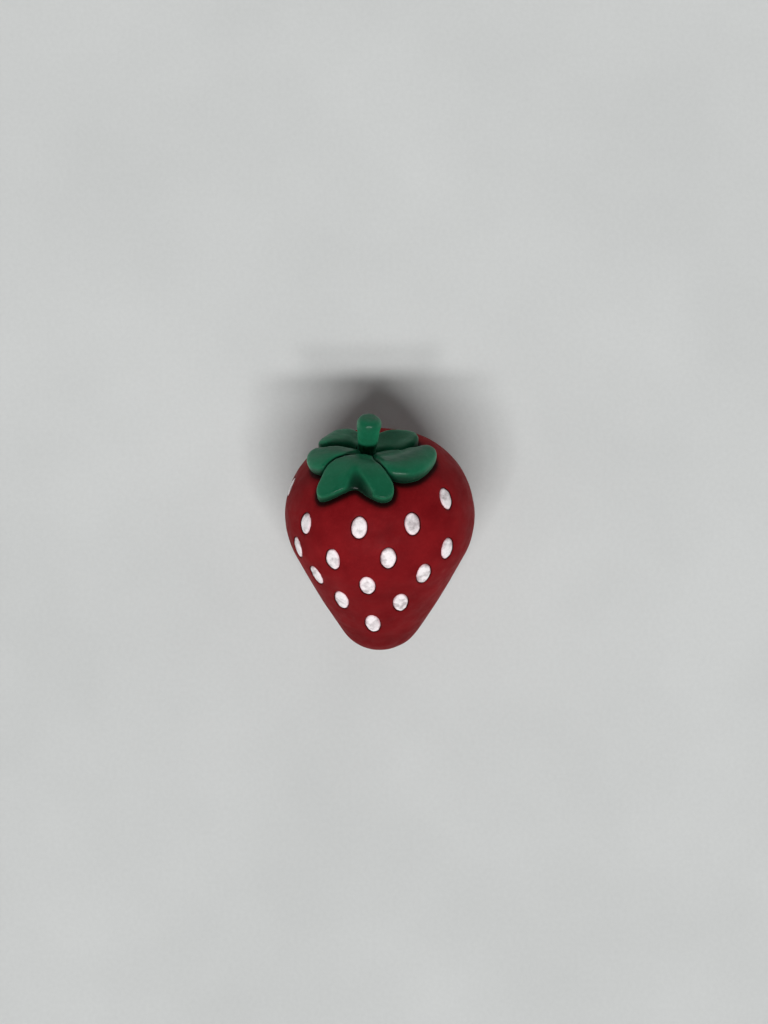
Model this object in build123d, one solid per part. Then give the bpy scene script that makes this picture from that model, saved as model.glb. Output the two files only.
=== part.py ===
from build123d import *
from math import asin, atan2, cos, degrees, hypot, radians, sin, sqrt
import os

# Strawberry needle minder: a moulded strawberry lying on its flattened flank, with a magnet
# glued into the flat and a loose backing magnet that grips the fabric from behind.
#
# Frame: +Z up, +Y towards the stem end, +X to the right seen from above.
# The origin is the centre of the backing magnet's outer face, which stands on the table.
# The berry itself is built upright in a frame of its own: z runs along its core from the belly
# (z = 0) to the stem, and -y is the side that faces up once the berry lies down.

# ---- berry outline (mm) --------------------------------------------------------------------
TIP_RADIUS = 5.3            # round end of the berry
TIP_CENTRE = -12.25         # height of its centre on the core
BELLY_RADIUS = 9.5          # arc of the belly, from the flank to the shoulder
BELLY_OFFSET = 1.4          # distance of that arc's centre from the core
FLANK_RADIUS = 120.0        # nearly straight flank between the tip and the belly
SHOULDER_ANGLE = 53.0       # latitude at which the belly runs into the rim, degrees
RIM_RADIUS = 2.9            # rounded rim around the hollow under the calyx
RIM_END_ANGLE = 120.0       # latitude at which the rim runs down into the hollow, degrees

# ---- how the berry lies --------------------------------------------------------------------
LEAN = 28.0                 # rise of the core towards the stem, degrees
BELLY_HEIGHT = 8.8          # belly centre above the flat
BELLY_FORWARD = 1.5         # belly centre from the magnets' centre, towards the stem

# ---- magnets -------------------------------------------------------------------------------
MAGNET_RADIUS = 5.0
MAGNET_THICK = 2.0
MAGNET_EDGE = 0.2           # rounded edge of the plated magnets
GLUE_FILM = 0.2             # glue between the front magnet and its seat

# ---- calyx and stem ------------------------------------------------------------------------
LEAF_THICK = 1.35
LEAF_GAP = 0.24             # crease between neighbouring leaves
LEAF_REACH = 5.5            # how far a leaf's block reaches either way before it is trimmed
CALYX_HEIGHT = 8.0          # height on the core of the point that the leaves spread from
CALYX_ACROSS = -1.4         # that point's offset from the core, along x
CALYX_FORWARD = 0.4         # and towards the upper side
STEM_FOOT = (CALYX_ACROSS - 0.15, -CALYX_FORWARD - 0.1, CALYX_HEIGHT - 0.1)
STEM_FOOT_RADIUS = 0.85
STEM_TOP_RADIUS = 1.3
STEM_LENGTH = 4.7           # above the leaves
STEM_TENON = 2.4            # peg that is pushed through the calyx into the berry
STEM_LEAN = (0.09, -0.11, 1.0)
STEM_EDGE = 0.35

# ---- seeds ---------------------------------------------------------------------------------
SEED_HALF_WIDTH = 0.88
SEED_SINK = 0.18            # the seeds' tops lie this far below the berry's surface
SEED_CLEAR_OF_FLAT = 1.9    # lowest seed centre above the flat

# One entry for each ring of seeds: half length, the (bearing, height, twist) of the seeds on the
# upper side from left to right, then the count and the first and last bearing of those that are
# spread evenly round the underside. Angles are in degrees; bearing 0 is the middle of the upper
# side, and a twist turns a seed's long axis anticlockwise from the direction of the stem.
SEED_RINGS = [
    (1.28, [(-92, 3.4, 0), (-52, 2.3, 0), (-13, 3.6, 0), (21, 3.8, 0), (52, 5.1, -15)],
     4, 112, 228),
    (1.35, [(-60, -1.4, 0), (-29, -0.7, 0), (5, 0.2, 0), (44, -0.2, 0)], 5, 100, 262),
    (1.60, [(-47, -4.3, -10), (-8, -3.8, 0), (28, -2.7, 8)], 5, 84, 270),
    (1.75, [(-31, -7.2, -14), (16, -7.0, 12)], 5, 82, 280),
    (1.85, [(-7, -10.7, 0)], 3, 86, 274),
]

# ---- leaf outlines -------------------------------------------------------------------------
# Each leaf: bearing of its midline, tilt of its pressing direction from the core, outline as
# (distance out along the leaf, distance across it), and the leaves that overlie its edges.
LEAVES = {
    "leaf_front": (0, 36, [
        (0.6, -0.5), (1.9, -1.7), (2.4, -3.2), (3.4, -4.4), (4.9, -5.1), (6.3, -5.5),
        (6.9, -5.1), (7.0, -4.3), (6.8, -3.2), (6.4, -2.0), (6.4, -1.1), (6.9, -0.4),
        (7.5, 0.5), (7.9, 1.6), (7.7, 2.5), (7.0, 2.85), (5.2, 2.3), (3.9, 1.5),
        (2.4, 0.6), (0.9, 0.3)], []),
    "leaf_right": (65, 12, [
        (0.4, -0.6), (0.6, -2.0), (1.9, -3.8), (4.0, -4.9), (5.8, -4.5), (7.0, -3.5),
        (7.7, -2.0), (7.8, 0.0), (7.2, 1.7), (6.2, 2.1), (5.2, 1.2), (4.2, 1.0), (2.5, 1.7),
        (1.2, 1.0)], ["leaf_front"]),
    "leaf_left": (-78, 22, [
        (0.5, -0.2), (0.4, 0.8), (1.3, 2.2), (3.0, 3.4), (4.6, 3.8), (5.7, 2.8), (6.4, 1.5),
        (6.4, 0.2), (5.8, -0.7), (4.9, -0.6), (3.9, 0.1), (2.7, 0.3), (1.7, 0.6)],
        ["leaf_front"]),
    "leaf_back_right": (112, 12, [
        (0.4, -0.2), (1.8, 0.3), (3.1, -0.5), (4.0, -1.6), (4.9, -1.5), (5.6, -0.4),
        (5.4, 1.0), (4.5, 2.1), (3.3, 2.8), (1.9, 2.8), (0.6, 1.6)], ["leaf_right"]),
    "leaf_back_left": (-115, 12, [
        (0.4, 0.3), (0.5, -1.3), (1.6, -2.4), (2.8, -2.5), (3.8, -1.8), (4.5, -0.7),
        (4.8, 0.8), (4.9, 2.0), (4.2, 2.5), (3.2, 1.9), (2.4, 1.0), (1.7, 0.2)],
        ["leaf_left", "leaf_back_right"]),
}
VALLEY_START = (3.3, -1.5)          # crease between the front leaf's two lobes: where it begins
VALLEY_END = (7.6, -1.1)            # and where it leaves the leaf, along and across it
VALLEY_START_RADIUS = 0.05          # its half width at the start
VALLEY_RADIUS = 2.1                 # and at the end
VALLEY_TOP = 4.75                   # its bottom above the leaf's datum plane at the start
VALLEY_BOTTOM = 3.1                 # and at the end


# ---- berry surface -------------------------------------------------------------------------
def flank_centre():
    """Centre of the arc that touches the tip's circle and the belly's circle from outside."""
    to_tip = FLANK_RADIUS - TIP_RADIUS
    to_belly = FLANK_RADIUS - BELLY_RADIUS
    apart = hypot(BELLY_OFFSET, TIP_CENTRE)
    along = (to_tip**2 - to_belly**2 + apart**2) / (2 * apart)
    aside = sqrt(to_tip**2 - along**2)
    run = (BELLY_OFFSET / apart, -TIP_CENTRE / apart)
    return (along * run[0] - aside * run[1], TIP_CENTRE + along * run[1] + aside * run[0])


FLANK_CENTRE = flank_centre()
FLANK_START = degrees(atan2(TIP_CENTRE - FLANK_CENTRE[1], -FLANK_CENTRE[0]))
FLANK_END = degrees(atan2(-FLANK_CENTRE[1], BELLY_OFFSET - FLANK_CENTRE[0]))
RIM_STEP = BELLY_RADIUS - RIM_RADIUS
RIM_CENTRE = (BELLY_OFFSET + RIM_STEP * cos(radians(SHOULDER_ANGLE)),
              RIM_STEP * sin(radians(SHOULDER_ANGLE)))
HOLLOW_REACH = RIM_CENTRE[0] / -cos(radians(RIM_END_ANGLE))
HOLLOW_CENTRE = RIM_CENTRE[1] + HOLLOW_REACH * sin(radians(RIM_END_ANGLE))
HOLLOW_RADIUS = HOLLOW_REACH - RIM_RADIUS

# The section's convex arcs from the tip to the rim: centre (distance from the core, height),
# radius, and the latitudes in degrees between which each one runs.
SECTION_ARCS = [
    ((0, TIP_CENTRE), TIP_RADIUS, -90, FLANK_START),
    (FLANK_CENTRE, FLANK_RADIUS, FLANK_START, FLANK_END),
    ((BELLY_OFFSET, 0), BELLY_RADIUS, FLANK_END, SHOULDER_ANGLE),
    (RIM_CENTRE, RIM_RADIUS, SHOULDER_ANGLE, RIM_END_ANGLE),
]


def berry_solid(grow):
    """The berry's outer form, with its skin moved outwards by grow."""
    arcs = [CenterArc(centre, radius + grow, start, end - start)
            for centre, radius, start, end in SECTION_ARCS]
    hollow = CenterArc((0, HOLLOW_CENTRE), HOLLOW_RADIUS - grow, RIM_END_ANGLE - 180,
                       90 - RIM_END_ANGLE)
    core = Line(hollow @ 1, arcs[0] @ 0)
    section = Plane.XZ * make_face(Curve() + arcs + [hollow, core])
    return revolve(section, Axis.Z)


def skin_at(height):
    """Distance from the core and latitude of the outward normal, at a height on the core."""
    for (across, up), radius, _, end in SECTION_ARCS:
        if height <= up + radius * sin(radians(end)):
            latitude = asin((height - up) / radius)
            return across + radius * cos(latitude), latitude
    raise ValueError(f"no skin at height {height}")


# ---- seeds ---------------------------------------------------------------------------------
def seed_place(bearing, height, twist):
    """Place on the skin: its z points outwards and its x runs along the seed."""
    radius, latitude = skin_at(height)
    turn = radians(bearing)
    outward = (cos(latitude) * sin(turn), -cos(latitude) * cos(turn), sin(latitude))
    towards_stem = (-sin(latitude) * sin(turn), sin(latitude) * cos(turn), cos(latitude))
    skin = Plane((radius * sin(turn), -radius * cos(turn), height), towards_stem, outward)
    return skin.location * Rotation(0, 0, twist)


def grain(half_length):
    """Seed form: an ellipse turned about its long axis, which is x."""
    arc = EllipticalCenterArc((0, 0), half_length, SEED_HALF_WIDTH, arc_size=180)
    return revolve(make_face(arc + Line(arc @ 1, arc @ 0)), Axis.X)


def seed_places():
    """Every seed's half length and place: the upper side, then the ring's underside."""
    for half_length, upper, count, first, last in SEED_RINGS:
        start_height = upper[-1][1]
        rise = (upper[0][1] - start_height) / (count + 1)
        step = (last - first) / (count - 1)
        under = [(first + step * n, start_height + rise * (n + 1), 0) for n in range(count)]
        for bearing, height, twist in upper + under:
            yield half_length, seed_place(bearing, height, twist)


# ---- leaves --------------------------------------------------------------------------------
def leaf_plane(bearing, tilt):
    """Plane of a leaf's outline: x runs out along the leaf, y across it towards the right."""
    turn = radians(bearing)
    lean = radians(tilt)
    outward = Vector(sin(turn), -cos(turn), 0)
    up = Vector(0, 0, 1)
    centre = (CALYX_ACROSS, -CALYX_FORWARD, CALYX_HEIGHT)
    along = outward * cos(lean) - up * sin(lean)
    normal = outward * sin(lean) + up * cos(lean)
    return Plane(centre, along, normal)


def grown(outline, gap):
    """Points of an outline that runs counter-clockwise, moved outwards by gap."""
    moved = []
    count = len(outline)
    for index, (x, y) in enumerate(outline):
        before = outline[index - 1]
        after = outline[(index + 1) % count]
        run = (after[0] - before[0], after[1] - before[1])
        length = hypot(*run)
        moved.append((x + gap * run[1] / length, y - gap * run[0] / length))
    return moved


def leaf_block(name, gap=0.0):
    """Upright block with the leaf's outline, reaching from inside the berry to outside it."""
    bearing, tilt, outline, _ = LEAVES[name]
    edge = Spline(*grown(outline, gap), periodic=True)
    return leaf_plane(bearing, tilt) * extrude(make_face(edge), amount=LEAF_REACH, both=True)


def valley():
    """Cone that hollows the crease between the front leaf's lobes."""
    bearing, tilt, _, _ = LEAVES["leaf_front"]
    start = Vector(*VALLEY_START, VALLEY_TOP)
    end = Vector(*VALLEY_END, VALLEY_BOTTOM + VALLEY_RADIUS)
    run = end - start
    cone = Cone(VALLEY_START_RADIUS, VALLEY_RADIUS, run.length,
                align=(Align.CENTER, Align.CENTER, Align.MIN))
    return leaf_plane(bearing, tilt) * (Plane(start, z_dir=run) * cone)


# ---- stem ----------------------------------------------------------------------------------
def stem_plane():
    return Plane(STEM_FOOT, x_dir=(1, 0, 0), z_dir=STEM_LEAN)


def stem_tenon():
    return stem_plane() * Pos(Z=-STEM_TENON / 2) * Cylinder(STEM_FOOT_RADIUS, STEM_TENON)


def stem_shaft():
    shaft = Cone(STEM_FOOT_RADIUS, STEM_TOP_RADIUS, STEM_LENGTH,
                 align=(Align.CENTER, Align.CENTER, Align.MIN))
    shaft = fillet(shaft.edges().sort_by(Axis.Z)[-1], STEM_EDGE)
    return stem_plane() * shaft


# ---- assembly ------------------------------------------------------------------------------
FLAT_HEIGHT = MAGNET_THICK
BLOCK = 60.0                # cutting block, wider than the berry
LYING = Plane((0, BELLY_FORWARD, FLAT_HEIGHT + BELLY_HEIGHT), x_dir=(1, 0, 0),
              z_dir=(0, cos(radians(LEAN)), sin(radians(LEAN))))


def magnet(base_height):
    disc = Cylinder(MAGNET_RADIUS, MAGNET_THICK, align=(Align.CENTER, Align.CENTER, Align.MIN))
    disc = fillet(disc.edges().filter_by(GeomType.CIRCLE), MAGNET_EDGE)
    return Pos(Z=base_height) * disc


def seat():
    depth = MAGNET_THICK + GLUE_FILM
    return Pos(Z=FLAT_HEIGHT + depth / 2) * Cylinder(MAGNET_RADIUS + GLUE_FILM, depth)


def build():
    nodes = {}
    berry = berry_solid(0)
    seed_top = berry_solid(-SEED_SINK)
    calyx_top = berry_solid(LEAF_THICK)
    tenon = stem_tenon()
    shaft = stem_shaft()

    below_flat = Pos(Z=FLAT_HEIGHT - BLOCK / 2) * Box(BLOCK, BLOCK, BLOCK)
    body = LYING * (berry - tenon) - below_flat - seat()
    for half_length, place in seed_places():
        if (LYING * place).position.Z < FLAT_HEIGHT + SEED_CLEAR_OF_FLAT:
            continue
        seed = place * grain(half_length)
        body -= LYING * seed
        nodes[f"seed_{len(nodes) + 1:02d}"] = LYING * (seed & seed_top)
    nodes["berry_body"] = body

    for name, (_, _, _, overlying) in LEAVES.items():
        leaf = (leaf_block(name) & calyx_top) - berry - tenon - shaft
        for other in overlying:
            leaf -= leaf_block(other, LEAF_GAP)
        if name == "leaf_front":
            leaf -= valley()
        nodes[name] = LYING * leaf

    nodes["stem"] = LYING * (tenon + shaft)
    nodes["front_magnet"] = magnet(FLAT_HEIGHT)
    nodes["magnet_glue"] = seat() - nodes["front_magnet"]
    nodes["backing_magnet"] = magnet(0)
    return nodes


os.makedirs("parts", exist_ok=True)
for node, shape in build().items():
    export_step(shape, f"parts/{node}.step")
    print(node, len(shape.solids()), round(shape.volume, 3))
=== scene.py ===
from math import cos, radians, sin

import bmesh
import bpy
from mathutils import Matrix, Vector
from mathutils.bvhtree import BVHTree


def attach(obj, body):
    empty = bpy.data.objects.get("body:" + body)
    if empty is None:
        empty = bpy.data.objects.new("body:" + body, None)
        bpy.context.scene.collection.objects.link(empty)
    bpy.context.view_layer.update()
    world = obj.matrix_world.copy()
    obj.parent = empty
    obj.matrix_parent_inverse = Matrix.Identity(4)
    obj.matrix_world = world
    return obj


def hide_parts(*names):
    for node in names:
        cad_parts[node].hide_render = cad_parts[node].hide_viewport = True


# A strawberry needle minder: the moulded berry with its calyx, stem and inlaid seeds, its two
# magnets, and the pale table that it stands on. Lengths are in metres.

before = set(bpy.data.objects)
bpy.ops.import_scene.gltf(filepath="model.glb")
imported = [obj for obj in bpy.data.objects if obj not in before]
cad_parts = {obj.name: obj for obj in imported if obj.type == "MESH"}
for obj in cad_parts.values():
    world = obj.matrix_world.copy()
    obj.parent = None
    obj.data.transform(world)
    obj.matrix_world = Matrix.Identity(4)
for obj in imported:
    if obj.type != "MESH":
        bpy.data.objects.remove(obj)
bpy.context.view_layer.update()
MM = 0.001

# ---- camera, table and lights ---------------------------------------------------------------
CAMERA_PLACE = Vector((0.46, 1.75, 210.8)) * MM
CAMERA_LENS = 61.0              # millimetres, on a sensor 36 mm along the longer side

TABLE_RADIUS = 1.2              # flat part of the table, which sweeps up into a wall
SWEEP_RADIUS = 0.5
SWEEP_STEP = 10                 # degrees between the points of the sweep
WALL_HEIGHT = 0.9
TABLE_SIDES = 96

# Daylight from one long window on the tip's side: a row of panes, each a small soft sun
WINDOW_PLACE = (0.0, -0.235, 0.42)
WINDOW_WIDTH = 0.36
WINDOW_PANES = 7
WINDOW_SOFTNESS = 6.5           # degrees
WINDOW_POWER = 3.1
# and a weak, very soft glow from the room on the stem's side
ROOM_PLACE = (0.05, 0.42, 0.18)
ROOM_SOFTNESS = 70.0
ROOM_POWER = 0.38
SKY_LIGHT = 0.02

# ---- handmade softness ------------------------------------------------------------------------
# For each kind of piece: voxel that its copy is rebuilt from, smoothing passes that round its
# edges, how far it is then blown up again, and the size and depth of the small lumps left by
# fingers and tools.
BERRY_FORM = dict(voxel=0.165 * MM, passes=7, puff=0.0, lump_size=1.6 * MM, lump_depth=0.05 * MM)
LEAF_FORM = dict(voxel=0.12 * MM, passes=130, puff=0.17 * MM,
                 lump_size=1.2 * MM, lump_depth=0.08 * MM)
LOBED_LEAF_FORM = {**LEAF_FORM, "passes": 24, "puff": 0.06 * MM}
STEM_FORM = dict(voxel=0.08 * MM, passes=150, puff=0.17 * MM,
                 lump_size=1.0 * MM, lump_depth=0.10 * MM)
SEED_FORM = dict(voxel=0.06 * MM, passes=140, puff=0.17 * MM,
                 lump_size=0.60 * MM, lump_depth=0.10 * MM)
SWELL_SIZE = 6.0 * MM           # slow waves that run on through all the pieces alike
SWELL_DEPTH = 0.16 * MM
MERGE_DISTANCE = 0.002 * MM     # joins the faces of a CAD node's mesh into one skin

# Shades of the same green: the back leaves are paler, so that they look as bright as the others
# from the camera although they face away from the window
LEAF_TONE = 0.95
BACK_LEAF_TONE = 1.45

# How far the painted shade in the creases reaches from what they touch; on a seed the same kind of
# reach sets a pink rim instead
LEAF_EDGE_SHADE = 1.35 * MM         # up a leaf's edge from the berry
BERRY_CONTACT_SHADE = 1.05 * MM        # over the berry from the leaves
LEAF_GROOVE_SHADE = 0.32 * MM         # over a leaf from its neighbours and the stem
PIT_RIM_SHADE = 0.22 * MM          # over a pit's rim from its seed
SEED_RIM = 0.30 * MM            # over a seed from the rim of its pit


def lump_texture(name, size):
    texture = bpy.data.textures.new(name, "CLOUDS")
    texture.noise_scale = size
    texture.noise_depth = 1
    return texture


def add_lumps(piece, name, size, depth):
    lumps = piece.modifiers.new(name, "DISPLACE")
    lumps.texture = lump_texture(name, size)
    lumps.texture_coords = "LOCAL"
    lumps.mid_level = 0.5
    lumps.strength = depth


def applied(piece):
    """Replaces the piece's mesh by the result of its modifiers."""
    graph = bpy.context.evaluated_depsgraph_get()
    result = bpy.data.meshes.new_from_object(piece.evaluated_get(graph), depsgraph=graph)
    piece.modifiers.clear()
    piece.data = result
    for polygon in result.polygons:
        polygon.use_smooth = True


def soft_copy(node, voxel, passes, puff, lump_size, lump_depth):
    """A rounded, slightly lumpy copy of a CAD node, which it replaces."""
    mesh = bpy.data.meshes.new(f"{node}_form")
    form = bmesh.new()
    form.from_mesh(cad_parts[node].data)
    bmesh.ops.remove_doubles(form, verts=form.verts, dist=MERGE_DISTANCE)
    form.to_mesh(mesh)
    form.free()
    piece = bpy.data.objects.new(f"{node}_form", mesh)
    bpy.context.scene.collection.objects.link(piece)

    remesh = piece.modifiers.new("rebuild", "REMESH")
    remesh.mode = "VOXEL"
    remesh.voxel_size = voxel
    rounding = piece.modifiers.new("round", "SMOOTH")
    rounding.factor = 0.5
    rounding.iterations = passes
    if puff:
        blown = piece.modifiers.new("puff", "DISPLACE")
        blown.mid_level = 0.0
        blown.strength = puff
    add_lumps(piece, "swell", SWELL_SIZE, SWELL_DEPTH)
    add_lumps(piece, "lumps", lump_size, lump_depth)
    applied(piece)
    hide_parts(node)
    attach(piece, "berry")
    return piece


# ---- creases ----------------------------------------------------------------------------------
def skin_of(pieces):
    """One search tree over the faces of all these pieces."""
    points = []
    faces = []
    for piece in pieces:
        first = len(points)
        points += [vertex.co for vertex in piece.data.vertices]
        faces += [[first + index for index in polygon.vertices] for polygon in piece.data.polygons]
    return BVHTree.FromPolygons(points, faces)


def mark_creases(piece, *neighbours):
    """Stores how deep each point lies in a crease; neighbours are pairs of (skin, reach)."""
    depths = []
    for vertex in piece.data.vertices:
        depth = 0.0
        for skin, reach in neighbours:
            distance = skin.find_nearest(vertex.co, reach)[3]
            if distance is not None:
                depth = max(depth, 1.0 - distance / reach)
        depths.append(depth)
    crease = piece.data.attributes.new("crease", "FLOAT", "POINT")
    crease.data.foreach_set("value", depths)


# ---- materials --------------------------------------------------------------------------------
class Material:
    """A Principled material whose nodes are added by the methods below."""

    def __init__(self, name, roughness, **constants):
        self.material = bpy.data.materials.new(name)
        self.material.use_nodes = True
        self.tree = self.material.node_tree
        self.shader = self.tree.nodes["Principled BSDF"]
        self.shader.inputs["Roughness"].default_value = roughness
        for socket, value in constants.items():
            self.shader.inputs[socket.replace("_", " ")].default_value = value
        self.place = self.tree.nodes.new("ShaderNodeTexCoord").outputs["Object"]

    def noise(self, size):
        """Noise whose features are about this size, in metres."""
        node = self.tree.nodes.new("ShaderNodeTexNoise")
        node.inputs["Scale"].default_value = 1.0 / size
        node.inputs["Detail"].default_value = 3.0
        node.inputs["Roughness"].default_value = 0.55
        self.tree.links.new(self.place, node.inputs["Vector"])
        return node.outputs["Fac"]

    def along_y(self, start, end):
        """Runs from 0 to 1 between two places on the object's y axis."""
        parts = self.tree.nodes.new("ShaderNodeSeparateXYZ")
        self.tree.links.new(self.place, parts.inputs["Vector"])
        node = self.tree.nodes.new("ShaderNodeMapRange")
        node.inputs["From Min"].default_value = start
        node.inputs["From Max"].default_value = end
        self.tree.links.new(parts.outputs["Y"], node.inputs["Value"])
        return node.outputs["Result"]

    def ramp(self, value, stops):
        """Colours along a value: stops are (position, colour)."""
        node = self.tree.nodes.new("ShaderNodeValToRGB")
        elements = node.color_ramp.elements
        for element, (position, colour) in zip(elements, stops):
            element.position = position
            element.color = (*colour, 1)
        for position, colour in stops[2:]:
            elements.new(position).color = (*colour, 1)
        self.tree.links.new(value, node.inputs["Fac"])
        return node.outputs["Color"]

    def blend(self, mode, share, base, over):
        """Mixes one colour over another; share is a number or a node's value."""
        node = self.tree.nodes.new("ShaderNodeMix")
        node.data_type = "RGBA"
        node.blend_type = mode
        if isinstance(share, float):
            node.inputs["Factor"].default_value = share
        else:
            self.tree.links.new(share, node.inputs["Factor"])
        self.tree.links.new(base, node.inputs["A"])
        self.tree.links.new(over, node.inputs["B"])
        return node.outputs["Result"]

    def spread(self, value, low, high):
        """Maps a noise value onto a range of plain numbers."""
        node = self.tree.nodes.new("ShaderNodeMapRange")
        node.inputs["From Min"].default_value = 0.3
        node.inputs["From Max"].default_value = 0.7
        node.inputs["To Min"].default_value = low
        node.inputs["To Max"].default_value = high
        self.tree.links.new(value, node.inputs["Value"])
        return node.outputs["Result"]

    def tinted_by_crease(self, base, stops):
        """Tints a colour in the creases: painted shade on the berry and leaves, a pink rim on the
        seeds. Stops are (depth in the crease, tint).
        """
        node = self.tree.nodes.new("ShaderNodeAttribute")
        node.attribute_name = "crease"
        return self.blend("MULTIPLY", 1.0, base, self.ramp(node.outputs["Fac"], stops))

    def colour(self, output):
        self.tree.links.new(output, self.shader.inputs["Base Color"])

    def gloss(self, output):
        self.tree.links.new(output, self.shader.inputs["Roughness"])

    def relief(self, *layers):
        """Bump layers, each (height value, distance in metres)."""
        normal = None
        for height, distance in layers:
            node = self.tree.nodes.new("ShaderNodeBump")
            node.inputs["Strength"].default_value = 1.0
            node.inputs["Distance"].default_value = distance
            self.tree.links.new(height, node.inputs["Height"])
            if normal is not None:
                self.tree.links.new(normal, node.inputs["Normal"])
            normal = node.outputs["Normal"]
        self.tree.links.new(normal, self.shader.inputs["Normal"])


def grey(share):
    return (share, share, share)


def berry_material():
    """Deep red clay: dull, slightly mottled, with a fine grain; painted shade darkens it towards
    the tip, beside the leaves and round the seeds' pits.
    """
    clay = Material("berry_clay", 0.62, Specular_IOR_Level=0.06, Diffuse_Roughness=0.15,
                    Sheen_Weight=0.03, Sheen_Roughness=0.5, Sheen_Tint=(1.0, 0.10, 0.10, 1.0))
    mottle = clay.ramp(clay.noise(3.2 * MM), [(0.32, (0.145, 0.0030, 0.005)),
                                             (0.68, (0.235, 0.0085, 0.011))])
    dust = clay.ramp(clay.noise(0.35 * MM), [(0.55, (0.180, 0.004, 0.007)),
                                            (0.85, (0.270, 0.014, 0.017))])
    skin = clay.blend("MIX", 0.35, mottle, dust)
    # Painted shade: the red darkens towards the tip
    tip = clay.ramp(clay.along_y(-13 * MM, -3 * MM), [(0.0, (0.72, 0.66, 0.66)),
                                                      (1.0, (1.0, 1.0, 1.0))])
    skin = clay.blend("MULTIPLY", 1.0, skin, tip)
    # Painted shade: dark lines on the red beside the leaves and round each pit, where the pieces
    # meet
    clay.colour(clay.tinted_by_crease(skin, [(0.0, grey(1.0)), (0.35, grey(0.74)), (0.56, grey(0.22)),
                                   (0.74, grey(0.04))]))
    clay.gloss(clay.spread(clay.noise(1.3 * MM), 0.52, 0.74))
    clay.relief((clay.noise(0.9 * MM), 0.03 * MM), (clay.noise(0.16 * MM), 0.006 * MM))
    return clay.material


def leaf_material(name, tone):
    """Bottle-green clay in a given tone, a little smoother than the berry, with a faint coat."""
    clay = Material(name, 0.4, Specular_IOR_Level=0.12, Diffuse_Roughness=1.0,
                    Coat_Weight=0.10, Coat_Roughness=0.20,
                    Sheen_Weight=0.12, Sheen_Roughness=0.5, Sheen_Tint=(0.20, 1.0, 0.55, 1.0))

    def shade(red, green, blue):
        return (red * tone, green * tone, blue * tone)

    mottle = clay.ramp(clay.noise(2.2 * MM), [(0.30, shade(0.005, 0.098, 0.045)),
                                             (0.70, shade(0.011, 0.138, 0.068))])
    dust = clay.ramp(clay.noise(0.30 * MM), [(0.50, shade(0.008, 0.112, 0.052)),
                                            (0.85, shade(0.024, 0.170, 0.098))])
    skin = clay.blend("MIX", 0.35, mottle, dust)
    # Painted shade: the green darkens down a leaf's edge towards the berry and in the grooves
    # beside its neighbours and the stem
    clay.colour(clay.tinted_by_crease(skin, [(0.10, grey(1.0)), (0.40, grey(0.36)), (0.75, grey(0.08))]))
    clay.gloss(clay.spread(clay.noise(1.0 * MM), 0.30, 0.46))
    clay.relief((clay.noise(0.8 * MM), 0.03 * MM), (clay.noise(0.14 * MM), 0.006 * MM))
    return clay.material


def seed_material():
    """Chalky white clay with grey smudges and a pink rim."""
    clay = Material("seed_clay", 0.55, Specular_IOR_Level=0.50)
    smudge = clay.ramp(clay.noise(1.0 * MM), [(0.32, (0.50, 0.45, 0.46)),
                                             (0.55, (0.95, 0.90, 0.91))])
    specks = clay.ramp(clay.noise(0.18 * MM), [(0.30, (0.80, 0.73, 0.74)),
                                              (0.60, (0.97, 0.94, 0.95))])
    chalk = clay.blend("MULTIPLY", 0.5, smudge, specks)
    clay.colour(clay.tinted_by_crease(chalk, [(0.25, (1.0, 1.0, 1.0)), (0.80, (0.92, 0.66, 0.70))]))
    clay.gloss(clay.spread(clay.noise(0.5 * MM), 0.45, 0.7))
    clay.relief((clay.noise(0.4 * MM), 0.03 * MM), (clay.noise(0.1 * MM), 0.006 * MM))
    return clay.material


def magnet_material():
    """Bright nickel plating with fine scuffs and a few dull patches."""
    nickel = Material("nickel_plating", 0.2, Metallic=1.0)
    tone = nickel.ramp(nickel.noise(2.5 * MM), [(0.35, (0.56, 0.55, 0.53)),
                                               (0.65, (0.70, 0.69, 0.67))])
    scuffs = nickel.ramp(nickel.noise(0.2 * MM), [(0.40, (0.80, 0.80, 0.80)),
                                                 (0.75, (1.0, 1.0, 1.0))])
    nickel.colour(nickel.blend("MULTIPLY", 0.7, tone, scuffs))
    nickel.gloss(nickel.spread(nickel.noise(0.7 * MM), 0.14, 0.36))
    nickel.relief((nickel.noise(0.5 * MM), 0.004 * MM), (nickel.noise(0.08 * MM), 0.001 * MM))
    return nickel.material


def glue_material():
    """Set epoxy: milky, slightly yellow, uneven."""
    epoxy = Material("set_epoxy", 0.3, Subsurface_Weight=0.3)
    cloud = epoxy.ramp(epoxy.noise(0.8 * MM), [(0.3, (0.50, 0.46, 0.36)),
                                              (0.7, (0.72, 0.69, 0.58))])
    bubbles = epoxy.ramp(epoxy.noise(0.2 * MM), [(0.3, (0.75, 0.72, 0.65)),
                                                (0.6, (1.0, 1.0, 1.0))])
    epoxy.colour(epoxy.blend("MULTIPLY", 0.5, cloud, bubbles))
    epoxy.gloss(epoxy.spread(epoxy.noise(0.5 * MM), 0.2, 0.45))
    epoxy.relief((epoxy.noise(0.4 * MM), 0.03 * MM), (epoxy.noise(0.1 * MM), 0.005 * MM))
    return epoxy.material


def table_material():
    """Pale grey table top with barely visible clouding."""
    top = Material("pale_table", 0.75, Specular_IOR_Level=0.2)
    cloud = top.ramp(top.noise(30 * MM), [(0.35, (0.600, 0.612, 0.606)),
                                         (0.65, (0.640, 0.652, 0.646))])
    grain = top.ramp(top.noise(0.5 * MM), [(0.3, (0.93, 0.93, 0.93)), (0.7, (1.0, 1.0, 1.0))])
    top.colour(top.blend("MULTIPLY", 0.5, cloud, grain))
    top.relief((top.noise(0.6 * MM), 0.01 * MM))
    return top.material


def dress(piece, material):
    piece.data.materials.clear()
    piece.data.materials.append(material)


# ---- the object -------------------------------------------------------------------------------
def nodes_named(start):
    return [node for node in sorted(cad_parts) if node.startswith(start)]


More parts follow.
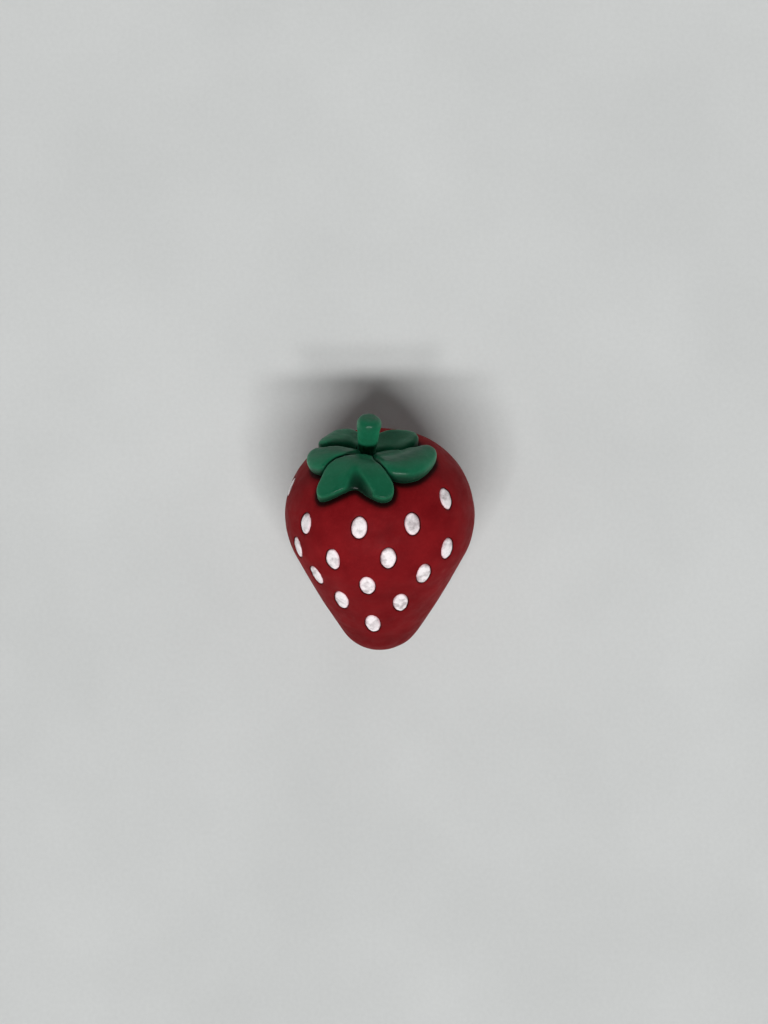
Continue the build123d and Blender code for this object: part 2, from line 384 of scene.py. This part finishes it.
def make_berry():
    """The body, the leaves and stem pressed onto it, and the seeds inlaid in it."""
    body = soft_copy("berry_body", **BERRY_FORM)
    leaves = [soft_copy(node, **(LOBED_LEAF_FORM if node == "leaf_front" else LEAF_FORM))
              for node in nodes_named("leaf_")]
    stem = soft_copy("stem", **STEM_FORM)
    seeds = [soft_copy(node, **SEED_FORM) for node in nodes_named("seed_")]

    # How deep each point lies in a crease, which the materials turn into painted shade on the
    # berry and leaves and a pink rim on the seeds
    body_skin = skin_of([body])
    mark_creases(body, (skin_of(leaves), BERRY_CONTACT_SHADE), (skin_of(seeds), PIT_RIM_SHADE))
    for seed in seeds:
        mark_creases(seed, (body_skin, SEED_RIM))
    for leaf in leaves:
        neighbours = skin_of([other for other in leaves + [stem] if other is not leaf])
        mark_creases(leaf, (body_skin, LEAF_EDGE_SHADE), (neighbours, LEAF_GROOVE_SHADE))

    dress(body, berry_material())
    green = leaf_material("leaf_clay", LEAF_TONE)
    paler = leaf_material("back_leaf_clay", BACK_LEAF_TONE)
    for piece in leaves + [stem]:
        dress(piece, paler if "_back_" in piece.name else green)
    white = seed_material()
    for seed in seeds:
        dress(seed, white)


def finish_magnets():
    nickel = magnet_material()
    for node in ("front_magnet", "backing_magnet"):
        dress(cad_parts[node], nickel)
    dress(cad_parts["magnet_glue"], glue_material())


# ---- surroundings -----------------------------------------------------------------------------
def make_table():
    """A round table top that sweeps up into a wall all round."""
    turn = [radians(angle) for angle in range(SWEEP_STEP, 91, SWEEP_STEP)]
    profile = [(0.0, 0.0), (TABLE_RADIUS, 0.0)]
    profile += [(TABLE_RADIUS + SWEEP_RADIUS * sin(angle), SWEEP_RADIUS * (1 - cos(angle)))
                for angle in turn]
    profile.append((TABLE_RADIUS + SWEEP_RADIUS, WALL_HEIGHT))
    sweep = bmesh.new()
    line = [sweep.verts.new((across, 0.0, up)) for across, up in profile]
    edges = [sweep.edges.new(pair) for pair in zip(line, line[1:])]
    bmesh.ops.spin(sweep, geom=line + edges, cent=(0, 0, 0), axis=(0, 0, 1), dvec=(0, 0, 0),
                   angle=radians(360), steps=TABLE_SIDES, use_merge=True)
    bmesh.ops.remove_doubles(sweep, verts=sweep.verts, dist=1e-6)
    mesh = bpy.data.meshes.new("table_top")
    sweep.to_mesh(mesh)
    sweep.free()
    for polygon in mesh.polygons:
        polygon.use_smooth = True
    table = bpy.data.objects.new("table_top", mesh)
    table.visible_shadow = False
    bpy.context.scene.collection.objects.link(table)
    dress(table, table_material())


def add_sun(name, place, softness, power):
    """A distant light that shines from this place towards the origin."""
    data = bpy.data.lights.new(name, "SUN")
    data.angle = radians(softness)
    data.energy = power
    sun = bpy.data.objects.new(name, data)
    sun.location = place
    sun.rotation_euler = Vector(place).to_track_quat("Z", "Y").to_euler()
    bpy.context.scene.collection.objects.link(sun)
    return sun


def make_lights():
    across, back, up = WINDOW_PLACE
    for pane in range(WINDOW_PANES):
        shift = WINDOW_WIDTH * (pane / (WINDOW_PANES - 1) - 0.5)
        add_sun(f"window_{pane}", (across + shift, back, up), WINDOW_SOFTNESS,
                WINDOW_POWER / WINDOW_PANES)
    room = add_sun("room", ROOM_PLACE, ROOM_SOFTNESS, ROOM_POWER)
    room.visible_glossy = False
    sky = bpy.data.worlds.new("sky")
    sky.use_nodes = True
    sky.node_tree.nodes["Background"].inputs["Color"].default_value = (1, 1, 1, 1)
    sky.node_tree.nodes["Background"].inputs["Strength"].default_value = SKY_LIGHT
    bpy.context.scene.world = sky


def make_camera():
    data = bpy.data.cameras.new("camera")
    data.lens = CAMERA_LENS
    data.clip_start = 0.005
    camera = bpy.data.objects.new("camera", data)
    camera.location = CAMERA_PLACE
    bpy.context.scene.collection.objects.link(camera)
    bpy.context.scene.camera = camera
    bpy.context.scene.view_settings.view_transform = "Standard"


make_camera()
make_berry()
finish_magnets()
make_table()
make_lights()
